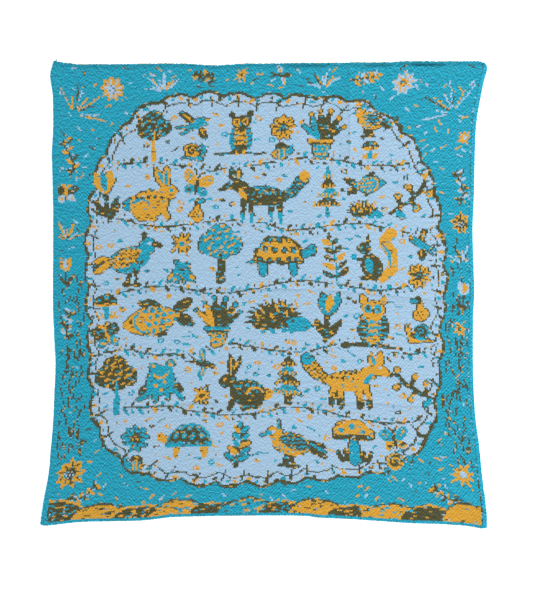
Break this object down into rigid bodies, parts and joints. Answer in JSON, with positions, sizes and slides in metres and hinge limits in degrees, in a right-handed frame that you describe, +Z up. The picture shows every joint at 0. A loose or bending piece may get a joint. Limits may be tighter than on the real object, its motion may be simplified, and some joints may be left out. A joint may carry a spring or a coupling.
{
  "type": "knitted baby blanket",
  "caption": "Knitted baby blanket lying flat, a thin square-cornered cloth with flared corners and soft fold creases, picture side up.",
  "frame": {"origin": "under the middle of the blanket's box, on the surface it rests on", "axes": "+Z up off the floor, +Y along the blanket from the bound-off end to the cast-on end, +X across it to the right"},
  "size_m": [0.878, 0.919, 0.0088],
  "materials": {
    "knitted_cotton": "matte double-knit cotton, four yarn colours"
  },
  "bodies": {
    "root": {"blanket_panel": "knitted_cotton"}
  },
  "joints": []
}
